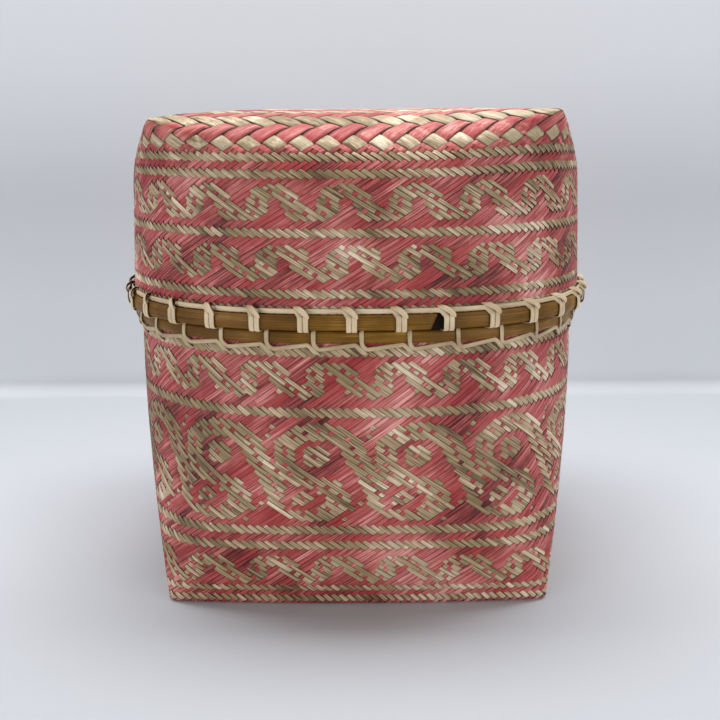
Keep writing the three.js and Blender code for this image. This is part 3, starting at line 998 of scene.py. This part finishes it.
def lidStitch(pitch):
    run = 6.55
    legOut = 2.75
    insideOut = -4.2
    return [
        (-pitch / 2, 0.9, run, (0, 1, 0), 0.95),
        (-4.4, 0.9, run, (0, 1, 0), 0.95),
        (-2.6, 1.2, run - 0.1, (0, 1, 0), 1),
        (-1.45, 1.9, run - 1.1, (0, 1, 0), 1.15),
        (-0.97, legOut, 4.2, (0, 1, 0), 1.05),  # down over the hoop
        (-0.97, legOut + 0.05, 2.0, (0, 1, 0), 1),
        (-0.97, legOut - 0.2, 0.4, (0, 1, -0.5), 1),
        (-0.97, 1.6, -0.6, (0, 0.1, -1), 1),
        (-0.97, -2.6, -0.6, (0, -0.1, -1), 1),
        (-1.1, insideOut, 0.6, (0, -1, -0.4), 1),  # up inside
        (-1.8, insideOut, 4.6, (0, -1, 0), 1),
        (-2.4, insideOut + 0.4, 6.9, (0, -1, 0.5), 1),
        (-2.9, -2.0, 7.8, (0, -0.3, 1), 1),  # out through the plait
        (-2.8, -0.2, 7.9, (0, 0.4, 1), 1.1),
        (-2.1, 1.2, 7.6, (-0.1, 1, 0.5), 1.1),
        (-0.95, 2.3, 7.15, (0, 1, 0.4), 1.1),  # across both legs, and tucked in
        (0.3, 3.25, 6.3, (0.1, 1, 0.2), 1.1),
        (1.3, 3.45, 5.2, (0.1, 1, 0), 0.95),
        (1.75, 3.05, 4.4, (0.1, 1, 0), 0.6),
        (1.5, 2.6, 4.6, (0, 1, 0), 0.5),
        (1.1, 2.5, 5.2, (0, 1, 0), 0.7),
        (0.97, legOut, 4.7, (0, 1, 0), 1),  # down and round once more
        (0.97, legOut + 0.05, 2.2, (0, 1, 0), 1),
        (0.97, legOut - 0.2, 0.4, (0, 1, -0.5), 1),
        (0.97, 1.6, -0.6, (0, 0.1, -1), 1),
        (0.97, -2.6, -0.6, (0, -0.1, -1), 1),
        (0.97, insideOut, 0.6, (0, -1, -0.4), 1),
        (0.9, insideOut, 4.6, (0, -1, 0), 1),
        (0.4, insideOut + 0.5, 6.1, (0, -1, 0.5), 1),
        (-0.2, -2.0, 6.7, (0, -0.2, 1), 1),
        (0.2, -0.1, 6.7, (-0.5, 0.3, 1), 1),  # on to the next stitch
        (1.4, 0.8, run, (-0.2, 1, 0.2), 0.95),
        (3.0, 0.9, run, (0, 1, 0), 0.95),
    ]


def baseStitch(pitch):
    legOut = 2.45
    insideOut = -4.6
    return [
        (-pitch / 2, 0.95, 5.65, (0, 1, 0), 1),
        (-3.4, 1.1, 5.0, (0, 1, 0), 1),
        (-2.3, 1.5, 4.85, (0, 1, 0), 1.05),
        (-1.3, 1.6, 5.45, (0, 1, 0), 1.05),
        (-0.1, 1.45, 6.8, (0, 1, 0), 1.1),
        (1.0, 1.2, 7.8, (0, 1, 0.3), 1),
        (1.7, -0.1, 8.3, (0.4, 0.6, 1), 0.9),
        (1.8, -2.2, 8.2, (0, -0.3, 1), 0.9),
        (1.4, insideOut + 0.4, 7.0, (0, -1, 0.5), 1),
        (0.6, insideOut, 4.4, (0, -1, 0), 1),
        (0.0, insideOut, 0.6, (0, -1, -0.4), 1),
        (0.0, -2.8, -0.6, (0, -0.1, -1), 1),
        (0.0, 1.4, -0.6, (0, 0.1, -1), 1),
        (0.0, legOut - 0.2, 0.4, (0, 1, -0.5), 1.05),
        (0.0, legOut, 1.8, (0, 1, 0), 1.05),
        (0.05, legOut, 3.6, (0, 1, 0), 1),
        (0.35, 2.0, 4.9, (0, 1, 0.1), 1),
        (1.2, 1.35, 6.0, (0, 1, 0), 1),
        (2.6, 0.95, 6.45, (0, 1, 0), 1),
    ]


def smoothPath(stops, steps):
    stops = np.asarray(stops, float)
    padded = np.concatenate([[2 * stops[0] - stops[1]], stops, [2 * stops[-1] - stops[-2]]])
    result = []
    share = np.linspace(0, 1, steps, endpoint=False)[:, None]
    for index in range(len(stops) - 1):
        before, start, end, after = padded[index:index + 4]
        slopeIn, slopeOut = (end - before) / 2, (after - start) / 2
        result.append(
            (2 * share**3 - 3 * share**2 + 1) * start + (share**3 - 2 * share**2 + share) * slopeIn
            + (3 * share**2 - 2 * share**3) * end + (share**3 - share**2) * slopeOut)
    return np.concatenate(result + [stops[-1:]])


stitchSteps = 4  # points between two stops
unevenStitch = 0.07  # in columns


def makeLashing(basket, look, stitch):
    pitch = splints / look["stitches"]
    perMillimetre = splints / lengthsAlong(basket.rings[-1])[-1]  # columns
    # The base's columns count to the left, so there a stitch is gone through backwards
    sign = -1 if basket.shape["turned"] else 1
    stops = []
    for number in range(look["stitches"]):
        middle = look["first"] + (number - look["stitches"] // 2) * pitch
        middle += chance.normal(0, unevenStitch)
        for right, out, up, (along, outward, upward), wide in stitch(pitch / perMillimetre)[::sign]:
            place = middle + sign * right * perMillimetre
            stops.append((place, out, up, sign * along, outward, upward, wide))
    path = smoothPath(stops, stitchSteps)
    at = rimPlace(basket, path[:, 0], path[:, 1], path[:, 2])[0]
    outward = rimPlace(basket, path[:, 0], 0, 0)[1]
    upward = np.array([0, 0, -1.0 if basket.shape["turned"] else 1.0])
    outward[:, 2] = 0
    outward /= np.linalg.norm(outward, axis=1, keepdims=True)
    alongRim = np.cross(outward, upward)
    facing = alongRim * path[:, 3:4] + outward * path[:, 4:5] + upward * path[:, 5:6]
    forward = np.gradient(at, axis=0)
    forward /= np.linalg.norm(forward, axis=1, keepdims=True)
    facing = facing - forward * np.sum(facing * forward, axis=1, keepdims=True)
    facing /= np.linalg.norm(facing, axis=1, keepdims=True)
    strand = sweep(at, facing, look["width"] * path[:, 6], look["thickness"], rattanSection)
    material = rattanFinish(look["piece"], look["tones"])
    piece = stripMesh(look["piece"], [strand], rattanSection, material, 70)
    carry(piece, look["body"], look["node"])


# Floor, backdrop and lamps. The paper's tones lie at millimetres from the middle of the box
# towards the wall, and on up the wall. They paint light and shade: painted shade darkens the floor
# at the front and just before the wall, and a painted shadow band crosses the wall.
backdrop = {"distance": 236.0, "rise": 1300.0, "curve": 9.0, "halfWidth": 1000.0, "reach": 1000.0}
paperShadeTones = [(-150, 190), (-84, 199), (-26, 199), (112, 188), (226, 184), (252, 216), (301, 214),
              (369, 202), (433, 208), (482, 212)]
waver = 30.0  # how far the tones stray to and fro


# The paper shows on its face only, so that the box can be seen from behind the wall as well. A
# second floor lies behind the wall.
def makeStage():
    foldStart = backdrop["distance"] - backdrop["curve"]
    profile = [(-backdrop["reach"], 0.0), (foldStart, 0.0)]
    for angle in np.linspace(0, math.pi / 2, 16)[1:]:
        profile.append((foldStart + backdrop["curve"] * math.sin(angle),
                        backdrop["curve"] * (1 - math.cos(angle))))
    profile.append((backdrop["distance"], backdrop["rise"]))
    profile += [(foldStart, 0.0), (backdrop["reach"], 0.0)]
    profile = np.array(profile)
    points = np.concatenate([
        np.stack([np.full(len(profile), side), profile[:, 0], profile[:, 1]], -1)
        for side in (-backdrop["halfWidth"], backdrop["halfWidth"])])
    count = len(profile)
    row = np.delete(np.arange(count - 1), count - 3)  # nothing joins the wall's top to that floor
    faces = np.stack([row, row + count, row + count + 1, row + 1], -1)
    finish = Finish("pale_paper")
    patches = finish.noise(finish.place(), 3.0, 2.0)
    along, up = finish.axes(finish.place(), 1, 2)
    start, stop = paperShadeTones[0][0] - 50, paperShadeTones[-1][0] + 50
    # The ramp paints light and shade over the paper
    share = along + up + patches * (waver * mm) - (start + waver / 2) * mm
    share = share * (1 / ((stop - start) * mm))
    stops = [((at - start) / (stop - start), paint(grey, grey + 3, grey + 8))
             for at, grey in paperShadeTones]
    finish.set(Base_Color=finish.ramp(share, stops), Roughness=0.8)
    back = finish.node("ShaderNodeNewGeometry", output="Backfacing")
    clear = finish.node("ShaderNodeBsdfTransparent")
    face = Wire(finish, finish.surface.outputs[0])
    shown = finish.node("ShaderNodeMixShader", {}, {0: back, 1: face, 2: clear})
    finish.join(shown, finish.tree.nodes["Material Output"].inputs["Surface"])
    corners = points[faces][..., :2] / (2 * backdrop["halfWidth"]) + 0.5
    floor = meshObject("floor", points, [faces], [corners.reshape(-1, 2)], finish.material, 60)


topLamp = {"width": 1100, "depth": 300, "power": 11.4}
sideLamp = {"width": 800, "depth": 400, "power": 6.4}
lamps = {
    "top_lamp": {**topLamp, "place": (0, 75, 1000), "aim": (0, 75, 0)},
    "left_lamp": {**sideLamp, "place": (-1100, -1000, 230), "aim": (0, 0, 0)},
    "right_lamp": {**sideLamp, "place": (1100, -1000, 230), "aim": (0, 0, 0)},
}
roomStrength = 0.2
paleWall = paint(205, 209, 214)  # seen past the edges of the paper


def makeLight():
    for name, look in lamps.items():
        data = bpy.data.lights.new(name, "AREA")
        data.shape = "RECTANGLE"
        data.size = look["width"] * mm
        data.size_y = look["depth"] * mm
        data.energy = look["power"]
        lamp = bpy.data.objects.new(name, data)
        bpy.context.scene.collection.objects.link(lamp)
        lamp.location = Vector(look["place"]) * mm
        aim = Vector(look["aim"]) * mm - lamp.location
        lamp.rotation_euler = aim.to_track_quat("-Z", "Y").to_euler()
    room = Finish("soft_room", bpy.data.worlds)
    bpy.context.scene.world = room.material
    seen = sum(room.node("ShaderNodeLightPath", output=f"Is {kind} Ray")
               for kind in ("Camera", "Glossy", "Transmission"))
    soft, pale = [room.node("ShaderNodeBackground", {}, {"Color": color, "Strength": strength})
                  for color, strength in ((paint(250, 252, 255), roomStrength), (paleWall, 1.0))]
    shown = room.node("ShaderNodeMixShader", {}, {0: seen, 1: soft, 2: pale})
    room.join(shown, room.tree.nodes["World Output"].inputs["Surface"])


setCamera()
note("camera set")

lidBasket, baseBasket = Basket(lidShape), Basket(baseShape)
makePlait(lidBasket, lidPlait, lidDraft)
makePlait(baseBasket, basePlait, baseDraft)
note("skins plaited")

makeLining(lidBasket, lidPlait)
makeLining(baseBasket, basePlait)
note("linings plaited")

hoopSkin = hoopFinish()
makeHoop(lidBasket, lidHoop, roundSection, hoopSkin)
makeHoop(baseBasket, ledgeHoop, roundSection, hoopSkin)
makeHoop(lidBasket, lidFlatHoop, flatSection, hoopSkin)
makeHoop(baseBasket, baseFlatHoop, flatSection, hoopSkin)
note("hoops bent")

makeLashing(lidBasket, lidLashing, lidStitch)
makeLashing(baseBasket, baseLashing, baseStitch)
note("rims lashed")

makeStage()
makeLight()
note("stage lit")
